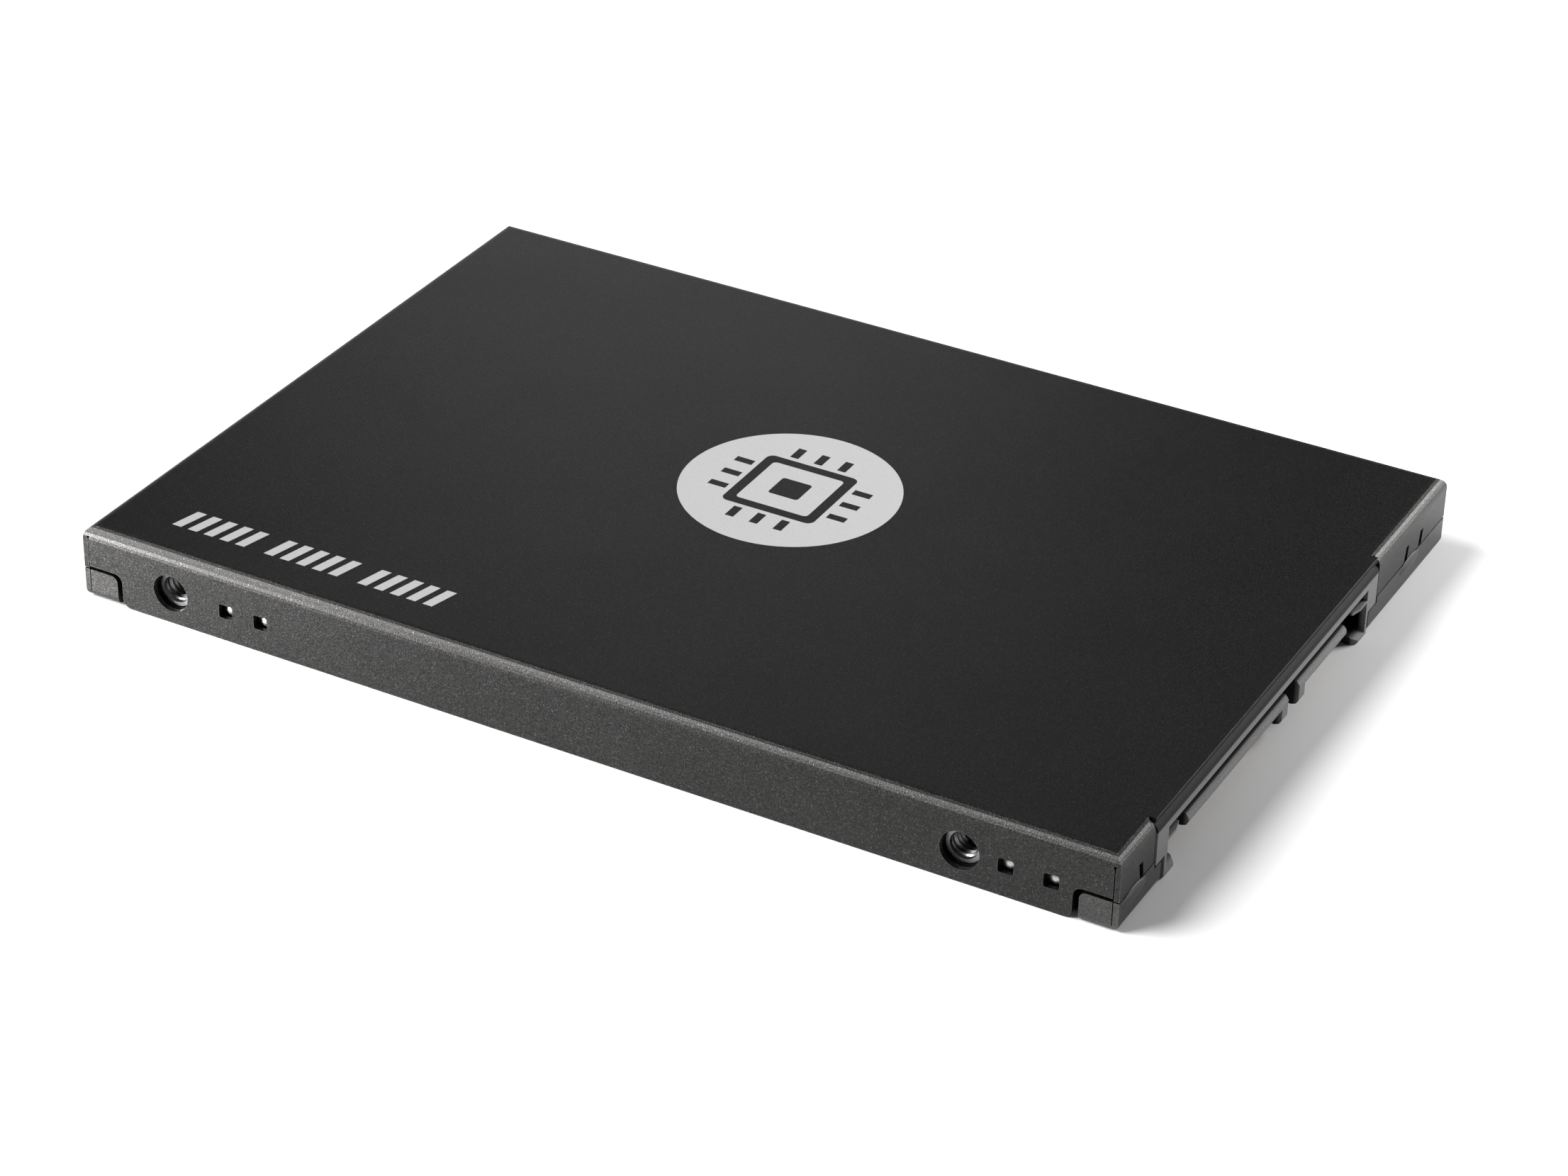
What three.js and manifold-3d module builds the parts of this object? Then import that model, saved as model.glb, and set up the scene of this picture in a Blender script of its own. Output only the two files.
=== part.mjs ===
// A 2.5 inch solid state drive, 7 mm high, as an assembly of separate pieces.
// Millimetres, +Z up, origin at the centre of the underside, +X towards the connector.
import * as THREE from 'three';
import { mergeVertices } from 'three/addons/utils/BufferGeometryUtils.js';
import Module from 'manifold-3d';

// ---- driving dimensions ----
const LENGTH = 100.2;
const WIDTH = 69.85;
const HEIGHT = 7.0;
const SHEET = 0.5; // thickness of both covers
const SEAM = 0.15; // visible gap between the two covers
const SPLIT = 0.1; // gap between a long side and an end wall of the same cover
const BULGE = 0.2; // how far a pressed snap stands proud of an end wall

const END = LENGTH / 2 - BULGE; // outer face of the end walls
const SIDE = WIDTH / 2; // outer face of the long sides
const END_INNER = END - SHEET;
const SIDE_INNER = SIDE - SHEET;
const CORNER = SIDE - 0.025; // half length of the end walls

// covers
const TOP_BEND = 1.1;
const BASE_BEND = 0.7;
const BASE_WALL = 2.8; // height of the bottom cover's end walls
const COVER_EDGE = BASE_WALL + SEAM; // lower edge of the top cover's end walls
const SKIRT = 0.05; // lower edge of the top cover's long sides
const FLANGE = SIDE_INNER - 0.325; // outer face of the bottom cover's inner flanges
const FLANGE_TOP = 5.4;
const FLANGE_END = 45.2;
const NOTCH_X = 45.9; // where the corner notch in a long side starts
const NOTCH_Z = 3.15;
const TAB_X = 46.45; // where the bottom cover's corner tab starts

// M3 mounting holes
const HOLE_X = [END - 14, END - 90.6];
const HOLE_Z = 3.0;
const HOLE_Y = 61.72 / 2;
const WALL_HOLE = 1.8;
const COLLAR = 1.65;
const THREAD = 1.3;

// snap windows beside the side holes, with the bumps behind them
const WINDOW_X = [END - 5.9, END - 9.9, END - 81.2, END - 84.8];
const WINDOW = [1.4, 1.35];
const WINDOW_Z = 2.9;

// connector
const PLUG_Y = -4.7; // centre line of the connector
const HOUSING_HALF = 23.25;
const OPENING = [PLUG_Y - HOUSING_HALF - 0.6, PLUG_Y + HOUSING_HALF + 0.15]; // in the top cover
const BASE_OPENING = [PLUG_Y - 22.2, PLUG_Y + 21.75]; // in the bottom cover
const HOUSING_BACK = 43.9;
const HOUSING_TOP = 6.25;
const BAR_UNDERSIDE = 4.75;
const TONGUE = { front: END - 0.1, bottom: 2.1, top: 3.35, leg: 0.95, legWidth: 1.25 };
const POWER_TONGUE = [PLUG_Y - 16.7, PLUG_Y + 3.87];
const SIGNAL_TONGUE = [PLUG_Y + 6.28, PLUG_Y + 16.7];
const PITCH = 1.27;
const CONTACT_WIDTH = 0.76;
const POST = { depth: 0.65, wall: 1.3, legOut: 1.75, legIn: 2.2, shoulder: 2.3 };
const FOOT = { inner: 4.2, bottom: 0.1, lip: 0.4, top: 0.8, lead: 0.7, depth: 1.3, corner: 0.5 };
const LEDGE = { inner: 3.8, tip: 4.9, bottom: 3.45, top: 3.7, depth: 0.9, setBack: 0.3 };

// circuit board
const BOARD = { back: -26, front: 43.6, half: 31.5, bottom: 2.75, thickness: 0.8 };
const BOARD_TOP = BOARD.bottom + BOARD.thickness;
const BLOCK = { half: 4.5, depth: 6.2, bottom: 0.6, top: 5.3 };
const SCREWS = [[-22.5, -28], [-22.5, 28], [27, -28], [27, 28]];

const wasm = await Module();
wasm.setup();

// ---- shapes ----
const ALONG_X = new THREE.Matrix4().makeBasis(axis(0, 1, 0), axis(0, 0, 1), axis(1, 0, 0));
const ALONG_Y = new THREE.Matrix4().makeBasis(axis(1, 0, 0), axis(0, 0, 1), axis(0, -1, 0));
const HANG_X = new THREE.Matrix4().makeBasis(axis(0, -1, 0), axis(0, 0, -1), axis(1, 0, 0));
const HANG_Y = new THREE.Matrix4().makeBasis(axis(1, 0, 0), axis(0, 0, -1), axis(0, 1, 0));

function axis(x, y, z) {
  return new THREE.Vector3(x, y, z);
}

function solid(geometry) {
  geometry.deleteAttribute('normal');
  geometry.deleteAttribute('uv');
  const merged = mergeVertices(geometry, 1e-4);
  const vertProperties = Float32Array.from(merged.attributes.position.array);
  const triVerts = Uint32Array.from(merged.index.array);
  return new wasm.Manifold(new wasm.Mesh({ numProp: 3, vertProperties, triVerts }));
}

function geometryOf(manifold) {
  const mesh = manifold.getMesh();
  const geometry = new THREE.BufferGeometry();
  geometry.setAttribute('position', new THREE.BufferAttribute(mesh.vertProperties, 3));
  geometry.setIndex(new THREE.BufferAttribute(mesh.triVerts, 1));
  geometry.computeVertexNormals();
  return geometry;
}

function extruded(shape, depth) {
  return new THREE.ExtrudeGeometry(shape, { depth, bevelEnabled: false, curveSegments: 3 });
}

// an outline in (y, z), run along X from x0 to x1
function alongX(shape, x0, x1) {
  return solid(extruded(shape, x1 - x0).applyMatrix4(ALONG_X).translate(x0, 0, 0));
}

// an outline in (x, z), run along Y from y0 to y1
function alongY(shape, y0, y1) {
  return solid(extruded(shape, y1 - y0).applyMatrix4(ALONG_Y).translate(0, y1, 0));
}

// an outline in (x, y), run along Z from z0 to z1
function alongZ(shape, z0, z1) {
  return solid(extruded(shape, z1 - z0).translate(0, 0, z0));
}

function box(x0, x1, y0, y1, z0, z1) {
  const geometry = new THREE.BoxGeometry(x1 - x0, y1 - y0, z1 - z0);
  return solid(geometry.translate((x0 + x1) / 2, (y0 + y1) / 2, (z0 + z1) / 2));
}

function rodZ(x, y, radius, z0, z1, sides = 20) {
  const geometry = new THREE.CylinderGeometry(radius, radius, z1 - z0, sides);
  return solid(geometry.rotateX(Math.PI / 2).translate(x, y, (z0 + z1) / 2));
}

function rodY(x, z, radius, y0, y1, sides = 20) {
  const geometry = new THREE.CylinderGeometry(radius, radius, y1 - y0, sides);
  return solid(geometry.translate(x, (y0 + y1) / 2, z));
}

function polygon(points) {
  return new THREE.Shape(points.map(([u, v]) => new THREE.Vector2(u, v)));
}

// a rectangle from (u0, v0) to (u1, v1) with round corners
function rounded(u0, u1, v0, v1, r) {
  const shape = new THREE.Shape();
  shape.moveTo(u0 + r, v0);
  shape.absarc(u1 - r, v0 + r, r, -Math.PI / 2, 0);
  shape.absarc(u1 - r, v1 - r, r, 0, Math.PI / 2);
  shape.absarc(u0 + r, v1 - r, r, Math.PI / 2, Math.PI);
  shape.absarc(u0 + r, v0 + r, r, Math.PI, 1.5 * Math.PI);
  return shape;
}

// a bent sheet seen end on: a flat web with a wall turned up at each side
function channel(half, height, bend) {
  const inner = half - SHEET;
  const shape = new THREE.Shape();
  shape.moveTo(-half, height);
  shape.lineTo(-half, bend);
  shape.absarc(-half + bend, bend, bend, Math.PI, 1.5 * Math.PI);
  shape.absarc(half - bend, bend, bend, -Math.PI / 2, 0);
  shape.lineTo(half, height);
  shape.lineTo(inner, height);
  shape.absarc(half - bend, bend, bend - SHEET, 0, -Math.PI / 2, true);
  shape.absarc(-half + bend, bend, bend - SHEET, -Math.PI / 2, -Math.PI, true);
  shape.lineTo(-inner, height);
  return shape;
}

// the same outline filled in, to trim the ends of a channel that crosses it
function block(half, height, bend) {
  const shape = new THREE.Shape();
  shape.moveTo(-half, height);
  shape.lineTo(-half, bend);
  shape.absarc(-half + bend, bend, bend, Math.PI, 1.5 * Math.PI);
  shape.absarc(half - bend, bend, bend, -Math.PI / 2, 0);
  shape.lineTo(half, height);
  return shape;
}

function hangX(shape, half) {
  return solid(extruded(shape, 2 * half).applyMatrix4(HANG_X).translate(-half, 0, HEIGHT));
}

function hangY(shape, half) {
  return solid(extruded(shape, 2 * half).applyMatrix4(HANG_Y).translate(0, -half, HEIGHT));
}

function standX(shape, half) {
  return alongX(shape, -half, half);
}

function standY(shape, half) {
  return alongY(shape, -half, half);
}

function union(pieces) {
  return pieces.reduce((whole, piece) => whole.add(piece));
}

function cut(whole, tools) {
  return whole.subtract(union(tools));
}

// each of a list of makers called with -1 and +1, for what is alike on both sides
function bothSigns(make) {
  return [make(-1), make(1)];
}

function between(sign, near, far) {
  return [Math.min(sign * near, sign * far), Math.max(sign * near, sign * far)];
}

// ---- top cover ----
const SNAP_Y = { front: [26.5, -32.2], back: [26.5, -26.5] };
const SLIT_Y = { front: [28.75, 25.35, -30.65], back: [28.75, 24.25, -24.25, -28.75] };
const SLIT = { width: 0.7, top: 4.45, lean: 0.4 }; // the slits lean outwards towards the top
const LIP_END = END - 0.15; // edge of the flat lip over the connector
const RELIEF = { width: 0.35, depth: 0.7 }; // bend relief at each end of the lip

function cornerNotch(sign) {
  const shape = new THREE.Shape();
  shape.moveTo(NOTCH_X - 0.8, -1);
  shape.lineTo(NOTCH_X - 0.8, SKIRT);
  shape.absarc(NOTCH_X - 0.8, SKIRT + 0.8, 0.8, -Math.PI / 2, 0);
  shape.absarc(NOTCH_X + 0.8, NOTCH_Z - 0.8, 0.8, Math.PI, Math.PI / 2, true);
  shape.lineTo(END_INNER, NOTCH_Z);
  shape.lineTo(END_INNER, -1);
  const one = alongY(shape, -SIDE - 1, SIDE + 1);
  return sign > 0 ? one : one.mirror([1, 0, 0]);
}

// the split between a long side and an end wall, opening into a small triangle at the top
function cornerSplit(signX, signY) {
  const [y0, y1] = between(signY, SIDE_INNER - 0.1, SIDE + 1);
  const bendStart = HEIGHT - TOP_BEND;
  const split = box(...between(signX, END_INNER - SPLIT, END_INNER), y0, y1, -1, bendStart);
  const wedge = polygon([
    [signX * (END_INNER - SPLIT - 0.12), bendStart + 0.3],
    [signX * (END_INNER - SPLIT), bendStart - 0.15],
    [signX * (END_INNER + 0.1), bendStart + 0.3],
  ]);
  return split.add(alongY(wedge, y0, y1));
}

function snapWindow(x, sign) {
  const shape = rounded(x - WINDOW[0] / 2, x + WINDOW[0] / 2, WINDOW_Z - WINDOW[1] / 2,
    WINDOW_Z + WINDOW[1] / 2, 0.2);
  return alongY(shape, ...between(sign, SIDE_INNER - 0.3, SIDE + 0.3));
}

function slit(y, sign) {
  const half = SLIT.width / 2;
  const top = y + Math.sign(y) * SLIT.lean;
  const outline = polygon([
    [y - half, COVER_EDGE - 0.5],
    [y + half, COVER_EDGE - 0.5],
    [top + half, SLIT.top],
    [top - half, SLIT.top],
  ]);
  return alongX(outline, ...between(sign, END_INNER - 1, END + 1));
}

function topCover() {
  const long = hangX(channel(SIDE, HEIGHT - SKIRT, TOP_BEND), END_INNER);
  const across = hangY(channel(END, HEIGHT - COVER_EDGE, TOP_BEND), CORNER);
  const shell = long.add(across)
    .intersect(hangX(block(SIDE, HEIGHT, TOP_BEND), END))
    .intersect(hangY(block(END, HEIGHT, TOP_BEND), SIDE));
  const mouth = box(END - RELIEF.depth, END + 1, ...OPENING, -1, HEIGHT + 1);
  const lip = box(END - 2, LIP_END, OPENING[0] + RELIEF.width, OPENING[1] - RELIEF.width,
    HEIGHT - SHEET, HEIGHT);
  const cuts = [
    ...bothSigns((s) => cornerNotch(s)),
    ...bothSigns((s) => cornerSplit(1, s)),
    ...bothSigns((s) => cornerSplit(-1, s)),
    ...SLIT_Y.front.map((y) => slit(y, 1)),
    ...SLIT_Y.back.map((y) => slit(y, -1)),
    ...HOLE_X.flatMap((x) => bothSigns((s) => rodY(x, HOLE_Z, WALL_HOLE,
      ...between(s, SIDE_INNER - 0.3, SIDE + 0.3)))),
    ...WINDOW_X.flatMap((x) => bothSigns((s) => snapWindow(x, s))),
  ];
  return cut(shell.subtract(mouth).add(lip), cuts);
}

// ---- bottom cover ----
const BUMP = { x: 0.05, z: -0.1, radius: 0.53, proud: 0.3 };
const BOSS = { radius: 2.0, top: BOARD.bottom - 0.05, bore: 0.85 };
const LABEL = { x0: -44, x1: 24, half: 24, recess: 0.15 };

function tabOutline() {
  const shape = new THREE.Shape();
  shape.moveTo(TAB_X, -1);
  shape.lineTo(TAB_X, BASE_WALL - 0.6);
  shape.absarc(TAB_X + 0.6, BASE_WALL - 0.6, 0.6, Math.PI, Math.PI / 2, true);
  shape.lineTo(END + 1, BASE_WALL);
  shape.lineTo(END + 1, -1);
  return alongY(shape, -SIDE - 1, SIDE + 1);
}

function snapBulge(y, sign) {
  const geometry = new THREE.SphereGeometry(1, 20, 10);
  geometry.rotateX(Math.PI / 2);
  geometry.scale(BULGE + 0.15, 2.6, 0.85);
  const whole = solid(geometry.translate(sign * (END - 0.15), y, 2.35));
  const behind = box(...between(sign, END - 1, END + 0.04), y - 3, y + 3, BASE_WALL, 4);
  const inside = box(...between(sign, END - 1, END_INNER + 0.1), y - 3, y + 3, 0, 4);
  return cut(whole, [behind, inside]);
}

function windowBump(x, sign) {
  const geometry = new THREE.SphereGeometry(BUMP.radius, 16, 8);
  geometry.scale(1, BUMP.proud / BUMP.radius, 1);
  return solid(geometry.translate(x + BUMP.x, sign * FLANGE, WINDOW_Z + BUMP.z));
}

function baseSplit(signX, signY) {
  return box(...between(signX, END_INNER - SPLIT, END_INNER),
    ...between(signY, SIDE_INNER - 0.1, SIDE + 1), BASE_BEND, BASE_WALL + 1);
}

function bottomCover() {
  const across = standY(channel(END, BASE_WALL, BASE_BEND), CORNER);
  const tabs = standX(channel(CORNER, BASE_WALL, BASE_BEND), END_INNER - SPLIT);
  const trim = standX(block(CORNER, BASE_WALL, BASE_BEND), END);
  const ends = across.add(tabs).intersect(trim).intersect(standY(block(END, BASE_WALL, BASE_BEND), SIDE));
  const outline = tabOutline();
  const corners = ends.intersect(outline.add(outline.mirror([1, 0, 0])));
  const tray = standX(channel(FLANGE, FLANGE_TOP, BASE_BEND), TAB_X + 0.2);
  const pieces = [corners, tray];
  const bosses = SCREWS.map(([x, y]) => rodZ(x, y, BOSS.radius, SHEET / 2, BOSS.top));
  const bumps = WINDOW_X.flatMap((x) => bothSigns((s) => windowBump(x, s)));
  const bulges = [
    ...SNAP_Y.front.map((y) => snapBulge(y, 1)),
    ...SNAP_Y.back.map((y) => snapBulge(y, -1)),
  ];
  const cuts = [
    ...bothSigns((s) => baseSplit(1, s)),
    ...bothSigns((s) => baseSplit(-1, s)),
    ...bothSigns((s) => box(...between(s, FLANGE_END, TAB_X + 1), -SIDE_INNER, SIDE_INNER, SHEET, 6)),
    box(HOUSING_BACK - 0.3, END + 1, ...BASE_OPENING, -1, HEIGHT),
    box(HOUSING_BACK - 0.3, END + 1, PLUG_Y - HOUSING_HALF - 0.3, PLUG_Y + HOUSING_HALF + 0.3,
      POST.shoulder - 0.15, HEIGHT),
    alongZ(rounded(LABEL.x0 - 0.3, LABEL.x1 + 0.3, -LABEL.half - 0.3, LABEL.half + 0.3, 1), -1,
      LABEL.recess),
    ...SCREWS.map(([x, y]) => rodZ(x, y, BOSS.bore, 0.7, BOSS.top + 1, 12)),
    ...HOLE_X.flatMap((x) => bothSigns((s) => rodY(x, HOLE_Z, WALL_HOLE,
      ...between(s, FLANGE - 1, FLANGE + 1)))),
    ...HOLE_X.flatMap((x) => bothSigns((s) => rodZ(x, s * HOLE_Y, WALL_HOLE, -1, SHEET + 0.1))),
  ];
  return cut(union([...pieces, ...bosses, ...bumps]), cuts).add(union(bulges));
}

// ---- threaded mounting blocks ----
function mountingBlock(x, sign) {
  const outer = FLANGE - SHEET - 0.1;
  const body = box(x - BLOCK.half, x + BLOCK.half, ...between(sign, outer - BLOCK.depth, outer),
    BLOCK.bottom, BLOCK.top);
  const sideCollar = rodY(x, HOLE_Z, COLLAR, ...between(sign, outer - 1, FLANGE - 0.05));
  const baseCollar = rodZ(x, sign * HOLE_Y, COLLAR, 0.1, BLOCK.bottom + 1);
  const sideBore = rodY(x, HOLE_Z, THREAD, ...between(sign, outer - 4, SIDE));
  const baseBore = rodZ(x, sign * HOLE_Y, THREAD, -1, 3.4);
  return cut(union([body, sideCollar, baseCollar]), [sideBore, baseBore]);
}

// ---- connector ----
// The frame's ends are drawn for the +Y side, with distances measured inwards from its outer edge.
// a plate that is wide beside the opening and narrows to a thin leg below the shoulder
function postOutline() {
  const edge = HOUSING_HALF;
  return polygon([
    [edge, BAR_UNDERSIDE + 0.5],
    [edge, POST.shoulder],
    [edge - POST.legOut, POST.shoulder],
    [edge - POST.legOut, FOOT.bottom],
    [edge - POST.legIn, FOOT.bottom],
    [edge - POST.legIn, BAR_UNDERSIDE + 0.5],
  ]);
}

// a foot that turns inwards from the leg, with a sloping lead-in and a trimmed front corner
function foot() {
  const { inner, bottom, lip, top, lead, depth, corner } = FOOT;
  const [near, far] = [HOUSING_HALF - inner, HOUSING_HALF - POST.legOut];
  const profile = polygon([
    [END - depth, bottom],
    [END, bottom],
    [END, lip],
    [END - lead, top],
    [END - depth, top],
  ]);
  const plan = polygon([
    [END - depth - 1, near],
    [END - corner, near],
    [END + 0.1, near + corner + 0.1],
    [END + 0.1, far],
    [END - depth - 1, far],
  ]);
  return alongY(profile, near - 1, far).intersect(alongZ(plan, 0, HEIGHT));
}

// a thin shelf at mid height, its narrow tip set back from the front
function ledge() {
  const { inner, tip, bottom, top, depth, setBack } = LEDGE;
  const edge = HOUSING_HALF;
  const plan = polygon([
    [END - depth, edge - tip],
    [END - setBack, edge - tip],
    [END, edge - inner],
    [END, edge - POST.legIn + 0.1],
    [END - depth, edge - POST.legIn + 0.1],
  ]);
  return alongZ(plan, bottom, top);
}

function frameEnd() {
  const edge = HOUSING_HALF;
  const tongueEnd = SIGNAL_TONGUE[1] - PLUG_Y;
  const under = BAR_UNDERSIDE + 0.5;
  return union([
    alongX(postOutline(), END - POST.depth, END),
    box(HOUSING_BACK, END - 0.1, edge - POST.wall, edge, POST.shoulder, under),
    foot(),
    ledge(),
    box(HOUSING_BACK, END - LEDGE.depth + 0.1, tongueEnd - 0.5, edge - POST.wall + 0.1, LEDGE.bottom, under),
  ]);
}

function barOutline() {
  const shape = new THREE.Shape();
  shape.moveTo(HOUSING_BACK, BAR_UNDERSIDE);
  shape.lineTo(END, BAR_UNDERSIDE);
  shape.absarc(END - 0.8, HOUSING_TOP - 0.8, 0.8, 0, Math.PI / 2);
  shape.lineTo(HOUSING_BACK, HOUSING_TOP);
  return shape;
}

function tongueOutline(bottom) {
  const { front, top } = TONGUE;
  return polygon([
    [HOUSING_BACK, bottom],
    [front - 0.6, bottom],
    [front - 0.2, bottom + 0.16],
    [front, bottom + 0.5],
    [front, top - 0.4],
    [front - 0.3, top],
    [HOUSING_BACK, top],
  ]);
}

// a row of contacts; those in the list reach further forward and mate first
function contactRow(name, count, first, early) {
  return Array.from({ length: count }, (_, i) => ({
    name: `${name}_${i + 1}`,
    y: first - i * PITCH,
    tip: TONGUE.front - (early.includes(i + 1) ? 0.75 : 1.25),
  }));
}

const SIGNAL_CONTACTS = contactRow('signal_contact', 7, SIGNAL_TONGUE[1] - 1.1, [1, 4, 7]);
const POWER_CONTACTS = contactRow('power_contact', 15, POWER_TONGUE[1] - 1.9, [3, 4, 7, 12, 13]);
const CONTACTS = [...SIGNAL_CONTACTS, ...POWER_CONTACTS];

function connectorHousing() {
  const half = HOUSING_HALF;
  const end = frameEnd();
  const frame = union([
    alongY(barOutline(), -half, half),
    box(HOUSING_BACK, HOUSING_BACK + 1.5, -half + 3, half - 3, 1.0, HOUSING_TOP - 0.1),
    end,
    end.mirror([0, 1, 0]),
  ]).translate([0, PLUG_Y, 0]);
  const { leg, legWidth, bottom } = TONGUE;
  const tongues = [
    alongY(tongueOutline(bottom), ...POWER_TONGUE),
    alongY(tongueOutline(bottom), ...SIGNAL_TONGUE),
    alongY(tongueOutline(leg), POWER_TONGUE[1] - legWidth, POWER_TONGUE[1]),
    alongY(tongueOutline(leg), SIGNAL_TONGUE[0], SIGNAL_TONGUE[0] + legWidth),
  ];
  const grooves = CONTACTS.map(({ y }) => box(HOUSING_BACK - 1, TONGUE.front - 0.65,
    y - CONTACT_WIDTH / 2 - 0.1, y + CONTACT_WIDTH / 2 + 0.1, bottom - 0.1, bottom + 0.3));
  return cut(union([frame, ...tongues]), grooves);
}

// a strip that lies in the tongue's underside and steps up to the board behind the housing
function contact({ y, tip }) {
  const low = TONGUE.bottom + 0.03;
  const thick = 0.2;
  const tail = BOARD.bottom - 0.1;
  const outline = polygon([
    [tip, low],
    [tip, low + thick],
    [HOUSING_BACK - 0.2, low + thick],
    [HOUSING_BACK - 0.45, tail],
    [HOUSING_BACK - 1.8, tail],
    [HOUSING_BACK - 1.8, tail - thick],
    [HOUSING_BACK - 0.55, tail - thick],
    [HOUSING_BACK - 0.3, low],
  ]);
  return alongY(outline, y - CONTACT_WIDTH / 2, y + CONTACT_WIDTH / 2);
}

// ---- circuit board and what is soldered to it ----
function circuitBoard() {
  const { back, front, half, bottom } = BOARD;
  const plate = alongZ(rounded(back, front, -half, half, 0.8), bottom, BOARD_TOP);
  const blockX = HOLE_X[0];
  const inner = FLANGE - SHEET - 0.1 - BLOCK.depth - 0.4;
  const cuts = [
    ...bothSigns((s) => box(blockX - BLOCK.half - 0.4, blockX + BLOCK.half + 0.4,
      ...between(s, inner, half + 1), 0, HEIGHT)),
    ...SCREWS.map(([x, y]) => rodZ(x, y, 1.1, 0, HEIGHT)),
  ];
  return cut(plate, cuts);
}

// a package standing on the board's top face, a solder joint's height above it
function chip(x, y, length, width, height, standoff = 0.1) {
  const z0 = BOARD_TOP + standoff;
  return box(x - length / 2, x + length / 2, y - width / 2, y + width / 2, z0, z0 + height);
}

function roundChip(x, y, length, width, height, corner) {
  const z0 = BOARD_TOP + 0.1;
  return alongZ(rounded(x - length / 2, x + length / 2, y - width / 2, y + width / 2, corner), z0,
    z0 + height);
}

const CONTROLLER = { x: 20, y: -2, size: 14, height: 1.2 };

function thermalPad() {
  const { x, y, size, height } = CONTROLLER;
  const z0 = BOARD_TOP + height + 0.15;
  return alongZ(rounded(x - size / 2, x + size / 2, y - size / 2, y + size / 2, 0.5), z0,
    HEIGHT - SHEET - 0.1);
}

// pan-head screw with a cross recess
function boardScrew(x, y) {
  const seat = BOARD_TOP + 0.05;
  const profile = [[0, 0], [1.75, 0], [1.75, 0.5], [1.5, 0.85], [0, 1.0]].map(
    ([r, z]) => new THREE.Vector2(r, z));
  const head = solid(new THREE.LatheGeometry(profile, 20).rotateX(Math.PI / 2)
    .translate(x, y, seat));
  const shank = rodZ(x, y, 0.7, 0.9, seat + 0.2, 12);
  const cross = [
    box(x - 0.8, x + 0.8, y - 0.15, y + 0.15, seat + 0.55, seat + 2),
    box(x - 0.15, x + 0.15, y - 0.8, y + 0.8, seat + 0.55, seat + 2),
  ];
  return cut(head.add(shank), cross);
}

// ---- materials and assembly ----
function paint(color, roughness, metalness) {
  return new THREE.MeshStandardMaterial({ color, roughness, metalness });
}

const BLACK_COAT = paint(0x26262a, 0.55, 0.4);
const GREY_COAT = paint(0x4a4a4c, 0.5, 0.5);
const STEEL = paint(0x9a9a9c, 0.35, 0.9);
const PLASTIC = paint(0x1c1c1e, 0.5, 0.0);
const GOLD = paint(0xc9a24a, 0.3, 1.0);
const SOLDER_MASK = paint(0x14402a, 0.45, 0.0);
const EPOXY = paint(0x17171a, 0.6, 0.0);
const PAD = paint(0x8fa0b0, 0.9, 0.0);
const TANTALUM = paint(0xb98a3a, 0.5, 0.0);
const FERRITE = paint(0x3a3a3d, 0.6, 0.1);
const TIN = paint(0xb8b8b8, 0.3, 0.9);
const PAPER = paint(0xe4e4e2, 0.8, 0.0);

const drive = new THREE.Group();

function add(name, manifold, material) {
  const mesh = new THREE.Mesh(geometryOf(manifold), material);
  mesh.name = name;
  drive.add(mesh);
}

add('top_cover', topCover(), BLACK_COAT);
add('bottom_cover', bottomCover(), GREY_COAT);
HOLE_X.forEach((x, i) => {
  add(`mounting_block_${2 * i + 1}`, mountingBlock(x, -1), STEEL);
  add(`mounting_block_${2 * i + 2}`, mountingBlock(x, 1), STEEL);
});
add('connector_housing', connectorHousing(), PLASTIC);
CONTACTS.forEach((pin) => add(pin.name, contact(pin), GOLD));
add('circuit_board', circuitBoard(), SOLDER_MASK);
add('controller_chip', chip(CONTROLLER.x, CONTROLLER.y, CONTROLLER.size, CONTROLLER.size,
  CONTROLLER.height), EPOXY);
add('thermal_pad', thermalPad(), PAD);
[[-15, -11], [-15, 11], [0, -11], [0, 11]].forEach(([x, y], i) => {
  add(`flash_memory_${i + 1}`, chip(x, y, 12, 18, 1.2), EPOXY);
});
add('memory_chip', chip(20, 16, 8, 12, 1.0), EPOXY);
add('power_regulator', chip(34, -10, 5, 5, 0.85), EPOXY);
add('inductor_1', roundChip(34, -16.5, 4, 4, 1.8, 0.7), FERRITE);
add('inductor_2', roundChip(28, -16.5, 4, 4, 1.8, 0.7), FERRITE);
add('crystal', roundChip(31, 2, 3.2, 2.5, 0.7, 0.3), TIN);
[[38.5, -20], [38.5, 19], [33.5, 12], [33.5, 19]].forEach(([x, y], i) => {
  add(`capacitor_${i + 1}`, chip(x, y, 3.5, 2.8, 1.7), TANTALUM);
});
SCREWS.forEach(([x, y], i) => add(`board_screw_${i + 1}`, boardScrew(x, y), STEEL));
add('rear_label', alongZ(rounded(LABEL.x0, LABEL.x1, -LABEL.half, LABEL.half, 0.8), 0.02,
  0.1), PAPER);

export default drive;
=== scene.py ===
"""A 2.5 inch solid state drive: finishes, fine detail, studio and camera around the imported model."""

import math
import random

import bmesh
import bpy
from mathutils import Matrix, Vector


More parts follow.
